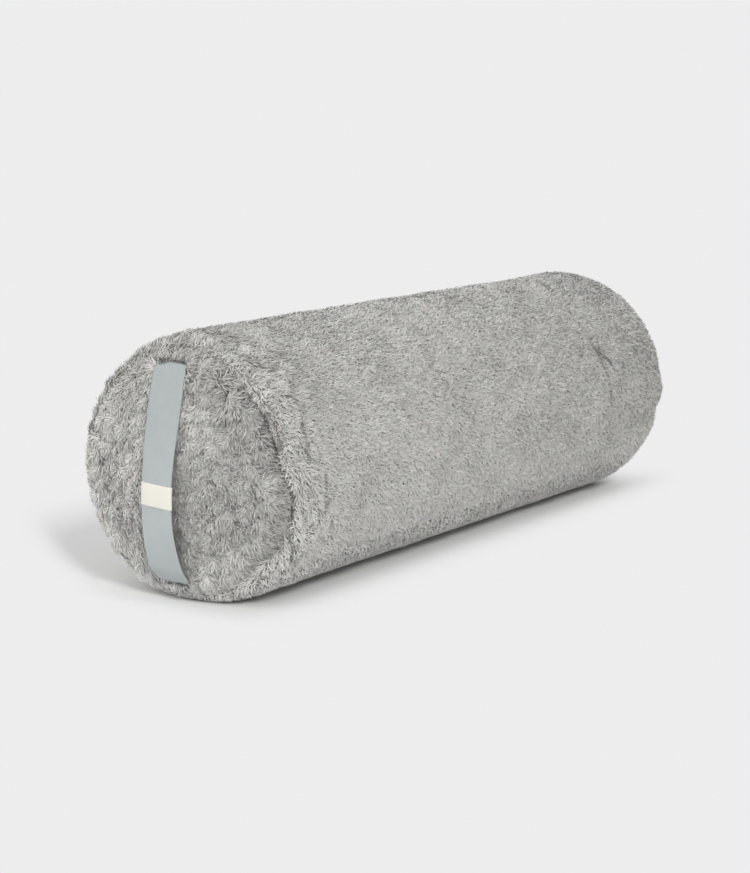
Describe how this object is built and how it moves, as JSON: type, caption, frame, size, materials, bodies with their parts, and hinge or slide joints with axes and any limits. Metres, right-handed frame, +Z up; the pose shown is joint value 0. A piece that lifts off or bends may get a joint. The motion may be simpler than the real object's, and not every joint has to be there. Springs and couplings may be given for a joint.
{
  "type": "round yoga bolster",
  "caption": "Round yoga bolster: a firm filled cylinder in a removable grey wool-pile cover with a webbing handle on one end and a zip with a sliding pull along the side.",
  "frame": {"origin": "centre of the underside, on the floor plane, at the middle of the overall length", "axes": "+X along the bolster away from the handle, +Y towards the side with the zip, +Z up"},
  "size_m": [0.6359, 0.208, 0.2006],
  "materials": {
    "grey_wool_pile": "curly wool pile",
    "blue_grey_webbing": "twill webbing",
    "cream_label": "plain woven",
    "grey_zip_tape": "woven tape",
    "grey_nylon_teeth": "moulded nylon",
    "nickel": "satin nickel plate",
    "grey_thread": "twisted thread",
    "natural_cotton": "plain woven cotton",
    "stuffing": "carded fibre"
  },
  "bodies": {
    "bolster": {"cover_body_panel": "grey_wool_pile", "cover_front_panel": "grey_wool_pile", "cover_rear_panel": "grey_wool_pile", "handle_strap": "blue_grey_webbing", "handle_label": "cream_label", "zip_tape_upper": "grey_zip_tape", "zip_tape_lower": "grey_zip_tape", "zip_teeth_upper": "grey_nylon_teeth", "zip_teeth_lower": "grey_nylon_teeth", "zip_top_stop_upper": "nickel", "zip_top_stop_lower": "nickel", "zip_bottom_stop": "nickel", "zip_stitch_upper": "grey_thread", "zip_stitch_lower": "grey_thread", "front_seam_binding": "grey_thread", "rear_seam_binding": "grey_thread", "liner_body": "natural_cotton", "liner_front_panel": "natural_cotton", "liner_rear_panel": "natural_cotton", "filling": "stuffing"},
    "slider": {"zip_slider": "nickel"},
    "puller": {"zip_puller": "nickel"}
  },
  "joints": [
    {"name": "zip_slide", "type": "slide", "parent": "bolster", "child": "slider", "axis": [1, 0, 0], "range_m": [0, 0.4455], "deforming": ["zip_teeth_upper", "zip_teeth_lower", "zip_tape_upper", "zip_tape_lower"]},
    {"name": "puller_hinge", "type": "hinge", "parent": "slider", "child": "puller", "pos_m": [-0.22135, 0.10158, 0.12214], "axis": [0, -0.2419, 0.9703], "range_deg": [0, 180]}
  ]
}
